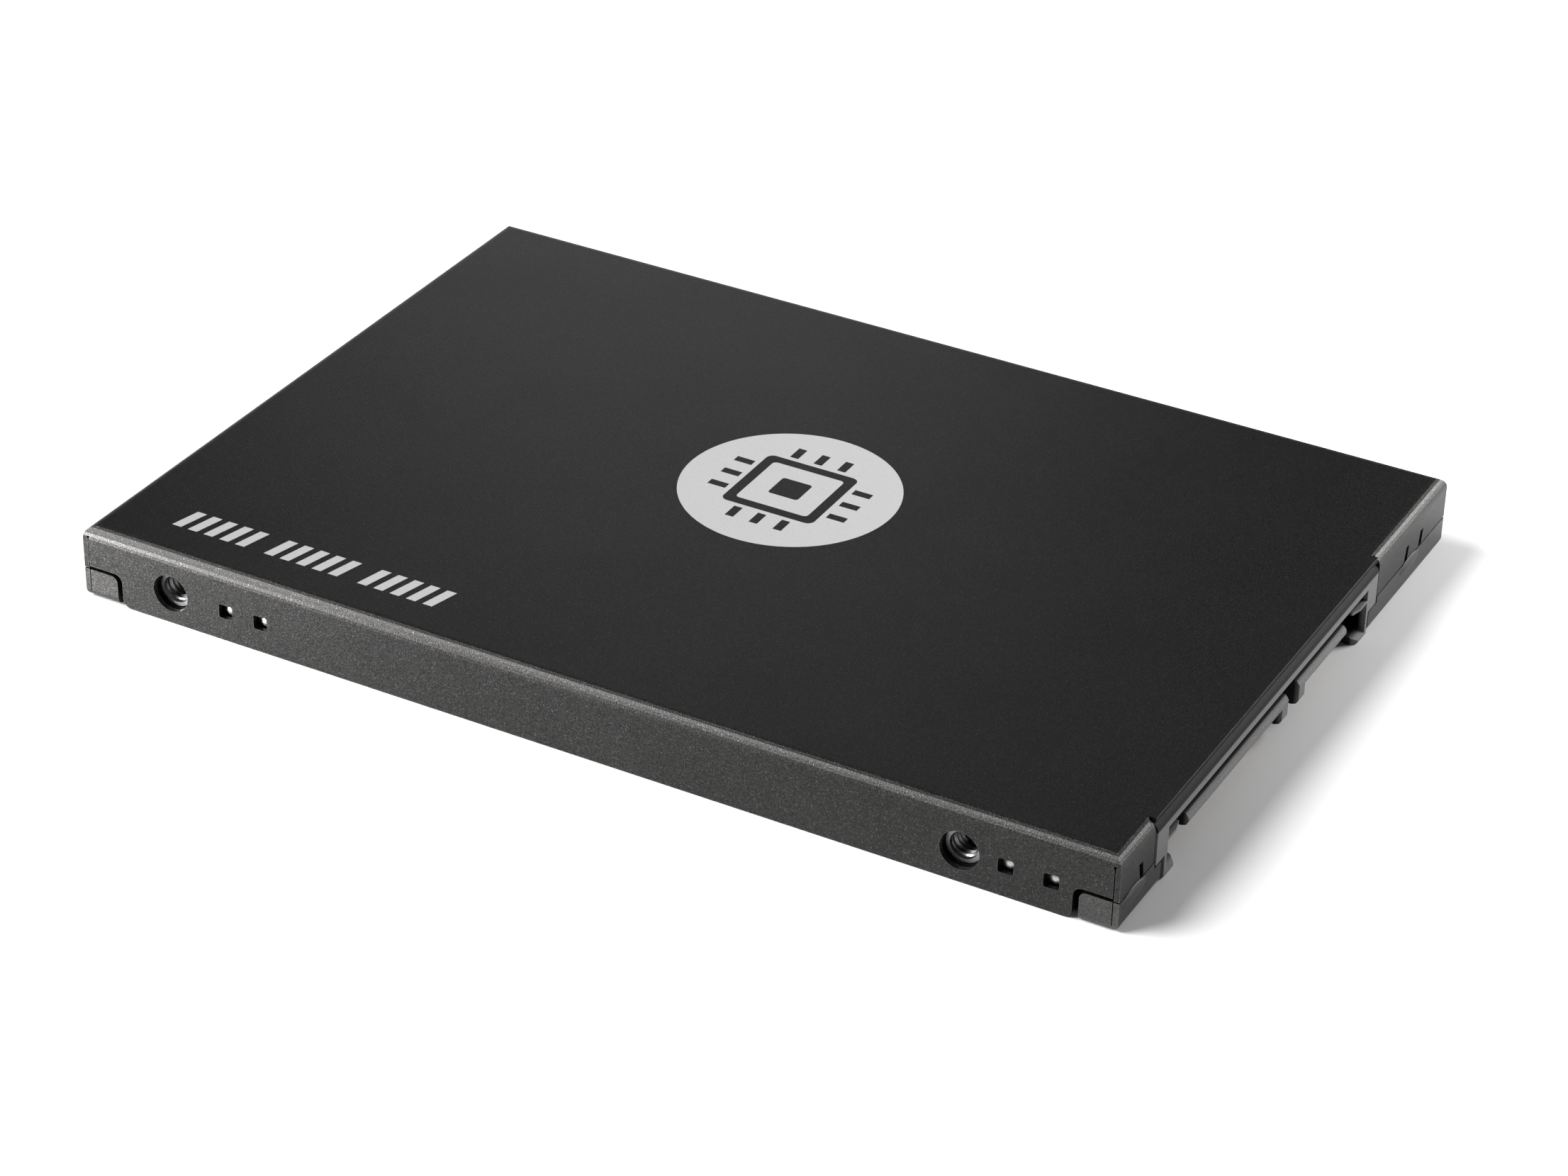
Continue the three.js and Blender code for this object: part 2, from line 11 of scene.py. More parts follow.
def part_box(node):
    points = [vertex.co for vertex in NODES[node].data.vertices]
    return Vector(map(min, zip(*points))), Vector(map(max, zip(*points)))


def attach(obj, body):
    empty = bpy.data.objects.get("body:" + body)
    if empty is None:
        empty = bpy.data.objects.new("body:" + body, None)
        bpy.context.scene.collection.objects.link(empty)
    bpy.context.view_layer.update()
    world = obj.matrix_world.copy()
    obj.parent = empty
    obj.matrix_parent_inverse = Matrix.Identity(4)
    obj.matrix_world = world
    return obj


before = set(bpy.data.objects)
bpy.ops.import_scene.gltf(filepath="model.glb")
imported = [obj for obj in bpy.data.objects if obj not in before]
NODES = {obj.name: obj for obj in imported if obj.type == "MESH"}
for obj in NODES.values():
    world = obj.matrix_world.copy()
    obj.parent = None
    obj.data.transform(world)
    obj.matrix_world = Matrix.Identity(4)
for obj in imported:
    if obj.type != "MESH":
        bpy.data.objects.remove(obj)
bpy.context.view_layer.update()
MM = 0.001

# ---- where things are, in millimetres, in the CAD's frame ----
TOP = 7.0
BOARD_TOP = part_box("circuit_board")[1].z / MM
END = 49.9  # outer face of the end walls
OPENING = (-28.55, 18.7)  # the connector's opening, from and to, along Y
HOLE_X = (35.9, -40.7)  # mounting holes, in the long sides and in the underside
HOLE_Y = 30.86
HOLE_Z = 3.0
BUMP_LEVEL = (2.2, 3.4)  # snap bumps in the windows: their height, from and to
BUMP_REACH = (34.13, 34.41)  # their distance from the middle, along Y
BUMP_LIMIT = 46.0  # they all lie within this distance of the middle, along X
RNG = random.Random(41)


# ---- node helpers ----
class Shader:
    """A Principled material with short calls for the nodes that feed it."""

    def __init__(self, name):
        self.mat = bpy.data.materials.new(name)
        self.mat.use_nodes = True
        self.tree = self.mat.node_tree
        self.bsdf = self.tree.nodes["Principled BSDF"]
        self.coords = self.node("ShaderNodeTexCoord").outputs["Object"]

    def node(self, kind, **settings):
        made = self.tree.nodes.new(kind)
        for key, value in settings.items():
            setattr(made, key, value)
        return made

    def put(self, socket, value):
        if isinstance(value, bpy.types.NodeSocket):
            self.tree.links.new(value, socket)
        else:
            socket.default_value = value

    def set(self, **values):
        for key, value in values.items():
            self.put(self.bsdf.inputs[key.replace("_", " ")], value)
        return self

    def noise(self, size_mm, detail=2.0, roughness=0.5, stretch=None):
        """Noise whose blobs are about size_mm across."""
        made = self.node("ShaderNodeTexNoise")
        self.put(made.inputs["Vector"], self.stretched(stretch))
        made.inputs["Scale"].default_value = 1.0 / (size_mm * MM)
        made.inputs["Detail"].default_value = detail
        made.inputs["Roughness"].default_value = roughness
        return made.outputs["Fac"]

    def stretched(self, stretch):
        if stretch is None:
            return self.coords
        made = self.node("ShaderNodeMapping")
        self.put(made.inputs["Vector"], self.coords)
        made.inputs["Scale"].default_value = stretch
        return made.outputs["Vector"]

    def spread(self, fac, low, high, start=0.3, end=0.7):
        """Maps fac from start..end onto low..high."""
        made = self.node("ShaderNodeMapRange")
        values = {"Value": fac, "From Min": start, "From Max": end, "To Min": low, "To Max": high}
        for name, value in values.items():
            self.put(made.inputs[name], value)
        return made.outputs["Result"]

    def band(self, axis, low, high):
        """1 where the coordinate lies between low and high, in millimetres; a pair is a soft limit."""
        split = self.node("ShaderNodeSeparateXYZ")
        self.put(split.inputs[0], self.coords)
        place = split.outputs[axis]
        near = low if isinstance(low, tuple) else (low - 0.001, low + 0.001)
        far = high if isinstance(high, tuple) else (high - 0.001, high + 0.001)
        rise = self.spread(place, 0.0, 1.0, near[0] * MM, near[1] * MM)
        fall = self.spread(place, 1.0, 0.0, far[0] * MM, far[1] * MM)
        return self.math("MULTIPLY", rise, fall)

    def math(self, how, a, b):
        made = self.node("ShaderNodeMath", operation=how)
        self.put(made.inputs[0], a)
        self.put(made.inputs[1], b)
        return made.outputs["Value"]

    def mix(self, fac, a, b):
        made = self.node("ShaderNodeMix", data_type="RGBA")
        self.put(made.inputs["Factor"], fac)
        self.put(made.inputs[6], a)
        self.put(made.inputs[7], b)
        return made.outputs[2]

    def bump(self, height, depth_mm, strength):
        made = self.node("ShaderNodeBump")
        made.inputs["Strength"].default_value = strength
        made.inputs["Distance"].default_value = depth_mm * MM
        self.put(made.inputs["Height"], height)
        return made.outputs["Normal"]

    def edge(self, radius_mm, low=0.02, high=0.25):
        """1 on convex and concave edges, 0 on flats, from a rounded normal."""
        rounded = self.node("ShaderNodeBevel", samples=4)
        rounded.inputs["Radius"].default_value = radius_mm * MM
        dot = self.node("ShaderNodeVectorMath", operation="DOT_PRODUCT")
        self.put(dot.inputs[0], rounded.outputs["Normal"])
        self.put(dot.inputs[1], self.node("ShaderNodeNewGeometry").outputs["Normal"])
        away = self.math("SUBTRACT", 1.0, dot.outputs["Value"])
        return self.spread(away, 0.0, 1.0, low, high)


def grey(value, warm=0.0):
    return (value * (1 + warm), value, value * (1 - warm), 1.0)


def shade(colour, factor, lift=0.0):
    """The colour made lighter or darker, never past white."""
    return [min(1.0, part * factor + lift) for part in colour[:3]] + [1]


# ---- finishes ----
def metal_coat(name, base, grain_mm, rough, edge_paling, glitter, marked=None):
    """Satin coat with fine metallic grain and sparse glitter, a little paler along the edges: partly wear,
    partly a painted edge highlight.
    """
    s = Shader(name)
    brightest = 3.5  # the palest flake, as a multiple of the base colour
    grain = s.noise(grain_mm, 2.0, 0.6)
    sparkle = s.spread(s.noise(grain_mm * 0.9, 1.0, 0.5), 0.0, glitter, 0.62, 0.76)
    patch = s.spread(s.noise(9.0, 2.0), 0.95, 1.05)
    tone = s.math("MULTIPLY", s.math("ADD", s.spread(grain, 0.68, 1.22, 0.36, 0.64), sparkle), patch)
    colour = s.mix(s.spread(tone, 0.0, 1.0, 0.0, brightest), grey(0.0), grey(base * brightest, 0.015))
    # edges painted paler: partly wear, partly a painted highlight along the edges
    edges = s.math("MULTIPLY", s.edge(0.10), s.spread(s.noise(0.8, 3.0), 0.3, 1.0))
    colour = s.mix(s.math("MULTIPLY", edges, edge_paling), colour, grey(0.42, 0.02))
    if marked:
        colour = marked(s, colour)
    s.set(Base_Color=colour, Metallic=1.0, Roughness=s.spread(grain, rough - 0.05, rough + 0.08),
          Normal=s.bump(grain, 0.032, 0.7))
    return s.mat


def worn_bumps(s, colour):
    """The snap bumps in the windows are rubbed down to bare steel."""
    low, high = BUMP_LEVEL
    near, far = BUMP_REACH
    level = s.band("Z", (low, low + 0.05), (high - 0.05, high))
    sides = s.math("ADD", s.band("Y", (near, near + 0.03), far), s.band("Y", -far, (-near - 0.03, -near)))
    clear = s.band("X", -BUMP_LIMIT, BUMP_LIMIT)
    return s.mix(s.math("MULTIPLY", s.math("MULTIPLY", level, sides), clear), colour, grey(0.62, 0.01))


def moulded(name, base, rough, grain_mm, depth, edge_paling):
    """Moulded plastic or resin: fine pitted skin, slightly rubbed edges."""
    s = Shader(name)
    grain = s.noise(grain_mm, 3.0, 0.6)
    cloud = s.noise(2.5, 2.0)
    colour = s.mix(s.spread(cloud, 0.0, 1.0), shade(base, 0.85), shade(base, 1.18))
    colour = s.mix(s.math("MULTIPLY", s.edge(0.06), edge_paling), colour, shade(base, 2.2, 0.03))
    s.set(Base_Color=colour, Roughness=s.spread(grain, rough - 0.07, rough + 0.1),
          Normal=s.bump(grain, depth, 0.6))
    return s.mat


def bare_metal(name, base, rough, grain_mm, stretch=None):
    """Bare or plated metal: tool marks, faint staining."""
    s = Shader(name)
    marks = s.noise(grain_mm, 4.0, 0.65, stretch)
    stain = s.noise(1.6, 3.0)
    colour = s.mix(s.spread(stain, 0.0, 1.0), shade(base, 0.78), shade(base, 1.12))
    s.set(Base_Color=colour, Metallic=1.0, Roughness=s.spread(marks, rough - 0.08, rough + 0.14),
          Normal=s.bump(marks, 0.004, 0.5))
    return s.mat


def solder_mask():
    """Board lacquer over copper: the planes beneath show as a faint change of green."""
    s = Shader("board_lacquer")
    weave = s.noise(0.5, 1.0, 0.4, (1.0, 0.12, 1.0))
    cloud = s.noise(6.0, 3.0)
    colour = s.mix(s.spread(cloud, 0.0, 1.0), (0.006, 0.032, 0.016, 1), (0.010, 0.052, 0.026, 1))
    s.set(Base_Color=colour, Roughness=s.spread(weave, 0.26, 0.40), Normal=s.bump(weave, 0.004, 0.5))
    s.bsdf.inputs["Coat Weight"].default_value = 0.4
    s.bsdf.inputs["Coat Roughness"].default_value = 0.2
    return s.mat


def paper(name, base, rough=0.62):
    s = Shader(name)
    fibre = s.noise(0.2, 4.0, 0.65, (1.0, 0.35, 1.0))
    colour = s.mix(s.spread(s.noise(8.0, 2.0), 0.0, 1.0), grey(base * 0.94, 0.01), grey(base, 0.02))
    s.set(Base_Color=colour, Roughness=s.spread(fibre, rough - 0.06, rough + 0.08),
          Normal=s.bump(fibre, 0.004, 0.4))
    return s.mat


def ink(name, base, rough=0.5):
    """Screen-printed ink: tiny pinholes and an uneven film."""
    s = Shader(name)
    film = s.noise(0.16, 3.0, 0.7)
    colour = s.mix(s.spread(film, 0.0, 1.0, 0.25, 0.75), grey(base * 0.86), grey(base * 1.06))
    s.set(Base_Color=colour, Roughness=s.spread(film, rough - 0.05, rough + 0.1),
          Normal=s.bump(film, 0.006, 0.5))
    return s.mat


def connector_plastic():
    """Glass-filled black plastic; its front faces near the end, below the top band, and its edges are
    painted pale grey as a painted highlight where they catch the light.
    """
    s = Shader("connector_plastic")
    grain = s.noise(0.1, 3.0, 0.6)
    speckle = s.spread(grain, 0.0, 1.0)
    # painted highlight: front faces within 0.6 mm of the end and below the top band are painted pale grey;
    # the rest stays black
    ahead = s.band("X", (END - 0.6, END - 0.25), END + 10.0)
    lit_front_mask = s.math("MULTIPLY", ahead, s.band("Z", -1.0, (5.35, 5.5)))
    edges = s.math("MULTIPLY", s.edge(0.06), s.spread(grain, 0.2, 0.7))
    painted_lit_front = s.mix(edges, s.mix(speckle, grey(0.10), grey(0.24)), grey(0.45))
    black = s.mix(speckle, grey(0.008), grey(0.022))
    black = s.mix(s.math("MULTIPLY", edges, 0.25), black, grey(0.12))
    s.set(Base_Color=s.mix(lit_front_mask, black, painted_lit_front), Roughness=s.spread(grain, 0.52, 0.68),
          Normal=s.bump(grain, 0.006, 0.6))
    s.bsdf.inputs["Specular IOR Level"].default_value = 0.08
    return s.mat


def silicone():
    s = Shader("silicone_pad")
    pores = s.noise(0.35, 4.0, 0.7)
    colour = s.mix(s.spread(pores, 0.0, 1.0), (0.20, 0.27, 0.36, 1), (0.30, 0.37, 0.46, 1))
    s.set(Base_Color=colour, Roughness=s.spread(pores, 0.6, 0.85), Normal=s.bump(pores, 0.05, 0.7))
    return s.mat


COAT = metal_coat("black_coat", base=0.038, grain_mm=0.13, rough=0.43, edge_paling=0.30, glitter=1.9)
BASE_COAT = metal_coat("grey_coat", base=0.072, grain_mm=0.13, rough=0.40, edge_paling=0.25, glitter=0.9,
                       marked=worn_bumps)
PLASTIC = connector_plastic()
GOLD = bare_metal("contact_gold", (0.80, 0.55, 0.20), rough=0.24, grain_mm=0.15, stretch=(0.2, 1.0, 1.0))
STEEL = bare_metal("block_steel", (0.26, 0.26, 0.265), rough=0.34, grain_mm=0.2)
ZINC = bare_metal("screw_zinc", (0.58, 0.58, 0.60), rough=0.26, grain_mm=0.15)
TIN = bare_metal("tin_plate", (0.66, 0.66, 0.67), rough=0.28, grain_mm=0.2)
BOARD = solder_mask()
EPOXY = moulded("chip_epoxy", (0.012, 0.012, 0.013), rough=0.50, grain_mm=0.09, depth=0.008, edge_paling=0.2)
FERRITE = moulded("ferrite", (0.045, 0.045, 0.048), rough=0.55, grain_mm=0.2, depth=0.03, edge_paling=0.3)
TANTALUM = moulded("capacitor_case", (0.42, 0.24, 0.05), rough=0.42, grain_mm=0.12, depth=0.006, edge_paling=0.3)
PAD = silicone()
PAPER = paper("label_paper", base=0.74)
PRINT = ink("print_light", base=0.36)
LABEL_INK = ink("print_dark", base=0.04)
SILK = ink("silk_white", base=0.55)
# painted shade: a near-black film for the shadowed cut edge of the lid over the connector
LIP_SHADE = moulded("painted_lip_shade", (0.010, 0.010, 0.010), rough=0.7, grain_mm=0.1, depth=0.004, edge_paling=0.1)
LIP_SHADE.node_tree.nodes["Principled BSDF"].inputs["Specular IOR Level"].default_value = 0.1
ETCH = ink("laser_etch", base=0.055)
CERAMIC = moulded("ceramic_case", (0.30, 0.21, 0.12), rough=0.45, grain_mm=0.1, depth=0.004, edge_paling=0.2)
TRACE = moulded("trace_lacquer", (0.016, 0.085, 0.036), rough=0.32, grain_mm=0.3, depth=0.003, edge_paling=0.0)

LOOKS = {
    "top_cover": COAT,
    "bottom_cover": BASE_COAT,
    "mounting_block": STEEL,
    "connector_housing": PLASTIC,
    "signal_contact": GOLD,
    "power_contact": GOLD,
    "circuit_board": BOARD,
    "controller_chip": EPOXY,
    "flash_memory": EPOXY,
    "memory_chip": EPOXY,
    "power_regulator": EPOXY,
    "inductor": FERRITE,
    "crystal": TIN,
    "capacitor": TANTALUM,
    "board_screw": ZINC,
    "thermal_pad": PAD,
    "rear_label": PAPER,
}
EDGE_MM = {
    "top_cover": 0.05,
    "bottom_cover": 0.05,
    "connector_housing": 0.06,
    "mounting_block": 0.08,
    "controller_chip": 0.05,
    "flash_memory": 0.05,
    "memory_chip": 0.05,
    "power_regulator": 0.05,
    "inductor": 0.12,
    "crystal": 0.1,
    "capacitor": 0.1,
    "board_screw": 0.05,
    "thermal_pad": 0.15,
}
FLAT_DEGREES = 0.05  # faces closer than this are one flat
EDGE_DEGREES = 38  # edges sharper than this are rounded
CREASE_DEGREES = 35  # and the shading is split at those sharper than this


def kind_of(node):
    return next(k for k in sorted(LOOKS, key=len, reverse=True) if node.startswith(k))


def finish_node(obj, kind):
    obj.data.materials.clear()
    obj.data.materials.append(LOOKS[kind])
    obj.data.polygons.foreach_set("use_smooth", [True] * len(obj.data.polygons))
    flat = obj.modifiers.new("flat", "DECIMATE")
    flat.decimate_type = "DISSOLVE"
    flat.angle_limit = math.radians(FLAT_DEGREES)
    if kind in EDGE_MM:
        bevel = obj.modifiers.new("edges", "BEVEL")
        bevel.width = EDGE_MM[kind] * MM
        bevel.segments = 2
        bevel.limit_method = "ANGLE"
        bevel.angle_limit = math.radians(EDGE_DEGREES)
        bevel.use_clamp_overlap = True
        bevel.harden_normals = False
    smooth_by_angle(obj)


def smooth_by_angle(obj):
    """Splits the shading at real edges only, so bends stay round and flats stay flat."""
    split = obj.modifiers.new("creases", "EDGE_SPLIT")
    split.split_angle = math.radians(CREASE_DEGREES)
    split.use_edge_sharp = False
    weighted = obj.modifiers.new("weighted", "WEIGHTED_NORMAL")
    weighted.keep_sharp = True


for node_name, node_object in NODES.items():
    finish_node(node_object, kind_of(node_name))


# ---- new pieces ----
def piece(name, mesh, material, body):
    """A new mesh object, made in millimetres, that rides on a body."""
    mesh.transform(Matrix.Scale(MM, 4))
    mesh.materials.clear()
    mesh.materials.append(material)
    obj = bpy.data.objects.new(name, mesh)
    bpy.context.scene.collection.objects.link(obj)
    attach(obj, body)
    return obj


def mesh_from(builder, name):
    bm = bmesh.new()
    builder(bm)
    bmesh.ops.recalc_face_normals(bm, faces=bm.faces[:])
    mesh = bpy.data.meshes.new(name)
    bm.to_mesh(mesh)
    bm.free()
    return mesh


def prism(bm, outline, z0, z1):
    """A closed prism over an outline of (x, y) points."""
    low = [bm.verts.new((x, y, z0)) for x, y in outline]
    high = [bm.verts.new((x, y, z1)) for x, y in outline]
    bm.faces.new(low[::-1])
    bm.faces.new(high)
    count = len(outline)
    for i in range(count):
        j = (i + 1) % count
        bm.faces.new((low[i], low[j], high[j], high[i]))


def rectangle(x0, x1, y0, y1):
    return [(x0, y0), (x1, y0), (x1, y1), (x0, y1)]


def circle(x, y, radius, count):
    return [(x + radius * math.cos(math.tau * i / count), y + radius * math.sin(math.tau * i / count))
            for i in range(count)]


def filled(outlines, name, z0, z1):
    """A flat plate with holes: nested outlines are filled by the even-odd rule."""
    curve = bpy.data.curves.new(name, "CURVE")
    curve.dimensions = "2D"
    curve.fill_mode = "BOTH"
    curve.extrude = (z1 - z0) / 2
    for outline in outlines:
        spline = curve.splines.new("POLY")
        spline.points.add(len(outline) - 1)
        for point, (x, y) in zip(spline.points, outline):
            point.co = (x, y, 0, 1)
        spline.use_cyclic_u = True
    holder = bpy.data.objects.new(name, curve)
    bpy.context.scene.collection.objects.link(holder)
    bpy.context.view_layer.update()
    mesh = bpy.data.meshes.new_from_object(holder)
    bpy.data.objects.remove(holder)
    mesh.transform(Matrix.Translation((0, 0, (z0 + z1) / 2)))
    return mesh


# ---- print on the top cover: a generic memory-chip sign and a row of plain bars ----
PRINT_FILM = (TOP - 0.02, TOP + 0.004)
SIGN = (0.0, 2.5, 10.1)  # middle and radius of the round field
CHIP_OUTLINES = ((4.6, 0.7), (3.6, 0.4), (1.5, 0.3))  # half width and corner radius, from outside in
PIN_ROWS = (-2.4, 0.0, 2.4)
PIN_REACH = (5.1, 6.9)
PIN_HALF = 0.42


def rounded_square(cx, cy, half, r, steps=6):
    points = []
    for k, (sx, sy) in enumerate(((1, 1), (-1, 1), (-1, -1), (1, -1))):
        for i in range(steps + 1):
            a = math.pi / 2 * (k + i / steps)
            x = cx + sx * (half - r) + r * math.cos(a)
            points.append((x, cy + sy * (half - r) + r * math.sin(a)))
    return points


def chip_sign():
    cx, cy, radius = SIGN
    outlines = [circle(cx, cy, radius, 96)]
    outlines += [rounded_square(cx, cy, half, corner) for half, corner in CHIP_OUTLINES]
    inner, outer = PIN_REACH
    for i in PIN_ROWS:
        for near, far in ((inner, outer), (-outer, -inner)):
            outlines.append(rectangle(cx + i - PIN_HALF, cx + i + PIN_HALF, cy + near, cy + far))
            outlines.append(rectangle(cx + near, cx + far, cy + i - PIN_HALF, cy + i + PIN_HALF))
    return filled(outlines, "chip_sign", *PRINT_FILM)


piece("chip_sign", chip_sign(), PRINT, "lid")

BARS_START = (-43.4, -30.6)
BAR = {"width": 0.95, "height": 2.9, "lean": 0.7, "pitch": 1.66}
BAR_GROUPS = 3
BARS_EACH = 5
GROUP_GAP = 1.35


def bar_row(bm):
    x, y0 = BARS_START
    y1 = y0 + BAR["height"]
    width, lean = BAR["width"], BAR["lean"]
    for _ in range(BAR_GROUPS):
        for _ in range(BARS_EACH):
            prism(bm, [(x, y0), (x + width, y0), (x + width + lean, y1), (x + lean, y1)], *PRINT_FILM)
            x += BAR["pitch"]
        x += GROUP_GAP


piece("bar_marks", mesh_from(bar_row, "bar_marks"), PRINT, "lid")


# ---- black film on the sheet's cut edge over the connector: painted shade ----
LIP_SHADE_MARGIN = 0.42
LIP_SHADE_LEVEL = (6.53, 6.87)
LIP_SHADE_FILM = (END - 0.2, END - 0.142)


def lip_shade_film():
    """A black film of painted shade on the lid's cut edge, drawn in the Y-Z plane and stood up along X."""
    strip = rectangle(OPENING[0] + LIP_SHADE_MARGIN, OPENING[1] - LIP_SHADE_MARGIN, *LIP_SHADE_LEVEL)
    mesh = mesh_from(lambda bm: prism(bm, strip, *LIP_SHADE_FILM), "lip_shade_film")
    mesh.transform(Matrix(((0, 0, 1, 0), (1, 0, 0, 0), (0, 1, 0, 0), (0, 0, 0, 1))))
    return mesh


piece("lip_shade_film", lip_shade_film(), LIP_SHADE, "lid")


# ---- threads in the mounting holes ----
THREAD_PITCH = 0.5
THREAD_RADII = (1.08, 1.34)  # crest and root
THREAD_HALF = (0.05, 0.24)  # half the ridge's height at the crest and at the root
THREAD_STEPS = 48  # a turn
SIDE_THREAD = {"start": 33.8, "turns": 6.5}
BASE_THREAD = {"start": 0.4, "turns": 4.5}


def thread(bm, turns):
    """A helical ridge inside a bore along local Z, from 0 downwards."""
    rings = []
    steps = THREAD_STEPS
    (crest, root), (narrow, wide) = THREAD_RADII, THREAD_HALF
    for k in range(int(turns * steps) + 1):
        a = math.tau * k / steps
        z = -THREAD_PITCH * k / steps
        fade = min(1.0, k / steps, (turns * steps - k) / steps)
        tip = root - (root - crest) * max(0.05, fade)
        section = ((root, z + wide), (tip, z + narrow), (tip, z - narrow), (root, z - wide))
        rings.append([bm.verts.new((r * math.cos(a), r * math.sin(a), h)) for r, h in section])
    for lower, upper in zip(rings, rings[1:]):
        for i in range(4):
            j = (i + 1) % 4
            bm.faces.new((lower[i], lower[j], upper[j], upper[i]))
    bm.faces.new(rings[0])
    bm.faces.new(rings[-1][::-1])


def add_threads():
    number = 0
    for x in HOLE_X:
        for side in (-1, 1):
            number += 1
            mesh = mesh_from(lambda bm: thread(bm, SIDE_THREAD["turns"]), "side_thread")
            turn = Matrix.Rotation(-side * math.pi / 2, 4, "X")
            mesh.transform(Matrix.Translation((x, side * SIDE_THREAD["start"], HOLE_Z)) @ turn)
            piece(f"side_thread_{number}", mesh, STEEL, "base")
            mesh = mesh_from(lambda bm: thread(bm, BASE_THREAD["turns"]), "base_thread")
            turn = Matrix.Rotation(math.pi, 4, "X")
            mesh.transform(Matrix.Translation((x, side * HOLE_Y, BASE_THREAD["start"])) @ turn)
            piece(f"base_thread_{number}", mesh, STEEL, "base")


add_threads()


# ---- on the circuit board, seen with the cover off ----
FLASH = tuple(f"flash_memory_{number}" for number in range(1, 5))
BALL_PACKAGES = ("controller_chip", *FLASH, "memory_chip")  # these stand on solder balls
CAPACITORS = tuple(f"capacitor_{number}" for number in range(1, 5))
PACKAGES = (*BALL_PACKAGES, "power_regulator", "inductor_1", "inductor_2", "crystal", *CAPACITORS)
SCREWS = ((-22.5, -28.0), (-22.5, 28.0), (27.0, -28.0), (27.0, 28.0))
SCREW_ROOM = 2.6
BOARD_X = (-25.0, 41.5)  # free part of the board
BOARD_Y = 30.5
BLOCK_HALF = 5.2  # a mounting block covers this much either side of its hole, outside BLOCK_Y
BLOCK_Y = 26.4
FOIL = (BOARD_TOP - 0.01, BOARD_TOP + 0.018)
LEGEND = (BOARD_TOP - 0.01, BOARD_TOP + 0.024)


def plan(node):
    low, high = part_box(node)
    return low.x / MM, high.x / MM, low.y / MM, high.y / MM


FOOTPRINTS = {node: plan(node) for node in PACKAGES}


def is_free(x, y, room):
    """Whether a spot on the board is clear of packages, screws, edges and the mounting blocks."""
    if not (BOARD_X[0] + room < x < BOARD_X[1] - room and abs(y) < BOARD_Y - room):
        return False
    if abs(x - HOLE_X[0]) < BLOCK_HALF + room and abs(y) > BLOCK_Y - room:
        return False
    if any(math.hypot(x - sx, y - sy) < SCREW_ROOM + room for sx, sy in SCREWS):
        return False
    return not any(x0 - room < x < x1 + room and y0 - room < y < y1 + room
                   for x0, x1, y0, y1 in FOOTPRINTS.values())


def track(bm, points, width):
    for (x0, y0), (x1, y1) in zip(points, points[1:]):
        run = math.hypot(x1 - x0, y1 - y0)
        nx, ny = (y0 - y1) / run * width / 2, (x1 - x0) / run * width / 2
        outline = [(x0 - nx, y0 - ny), (x1 - nx, y1 - ny), (x1 + nx, y1 + ny), (x0 + nx, y0 + ny)]
        prism(bm, outline, *FOIL)


BUSES = (  # start, end, number of tracks, their pitch, and whether they run along Y
    ((13.0, -7.2), (6.0, -9.6), 12, 0.42, False),
    ((13.0, -0.4), (6.0, 5.0), 12, 0.42, False),
    ((-6.0, -17.0), (-9.0, -17.0), 24, 0.5, False),
    ((-6.0, 5.5), (-9.0, 5.5), 24, 0.5, False),
    ((5.0, 17.2), (10.0, 16.6), 14, 0.42, True),
    ((27.0, 4.8), (41.6, 4.2), 4, 0.6, False),
    ((27.0, 7.4), (41.6, 8.6), 3, 0.6, False),
    ((-2.0, -14.6), (2.0, -14.6), 10, 0.42, True),
    ((-2.0, 0.6), (2.0, -0.4), 10, 0.42, True),
)
BUS_TRACK = 0.16
POWER_PADS = {"x": (36.8, 42.6), "y": (-13.0, -18.5, -21.5), "half": 0.9}
LONG_TRACKS = {"count": 9, "pitch": 0.7, "width": 0.14, "start": (-20.0, -29.0), "bend": 18.0, "rise": 4.0}


def bus(bm, start, end, count, pitch, turned):
    """Parallel tracks with a 45 degree jog half way."""
    (x0, y0), (x1, y1) = start, end
    for i in range(count):
        a, b = y0 + i * pitch, y1 + i * pitch
        bend = math.copysign(abs(y1 - y0) / 2, x1 - x0)
        middle = (x0 + x1) / 2 + i * pitch * 0.2
        points = [(x0, a), (middle - bend, a), (middle + bend, b), (x1, b)]
        points = [p for k, p in enumerate(points) if k == 0 or math.dist(p, points[k - 1]) > 0.01]
        track(bm, [(y, x) for x, y in points] if turned else points, BUS_TRACK)


def tracks(bm):
    for row in BUSES:
        bus(bm, *row)
    for y in POWER_PADS["y"]:
        prism(bm, rectangle(*POWER_PADS["x"], y - POWER_PADS["half"], y + POWER_PADS["half"]), *FOIL)
    start, rise = LONG_TRACKS["start"], LONG_TRACKS["rise"]
    for row in range(LONG_TRACKS["count"]):
        y = start[1] + row * LONG_TRACKS["pitch"]
        bend = LONG_TRACKS["bend"] - row
        track(bm, [(start[0], y), (bend, y), (bend + rise, y + rise)], LONG_TRACKS["width"])


piece("board_tracks", mesh_from(tracks, "board_tracks"), TRACE, "base")


VIAS = {"count": 130, "x": (-24.0, 41.0), "y": (-30.0, 30.0), "room": 0.4, "radius": 0.19}


def via_rings(bm):
    placed = 0
    while placed < VIAS["count"]:
        x, y = RNG.uniform(*VIAS["x"]), RNG.uniform(*VIAS["y"])
        if is_free(x, y, VIAS["room"]):
            prism(bm, circle(x, y, VIAS["radius"], 10), *LEGEND)
            placed += 1


piece("via_rings", mesh_from(via_rings, "via_rings"), TIN, "base")


LEGEND_LINE = 0.13
LEGEND_GAP = 0.35  # between a package and its outline
FIRST_PIN = {"left": 0.75, "above": 0.1, "radius": 0.2}


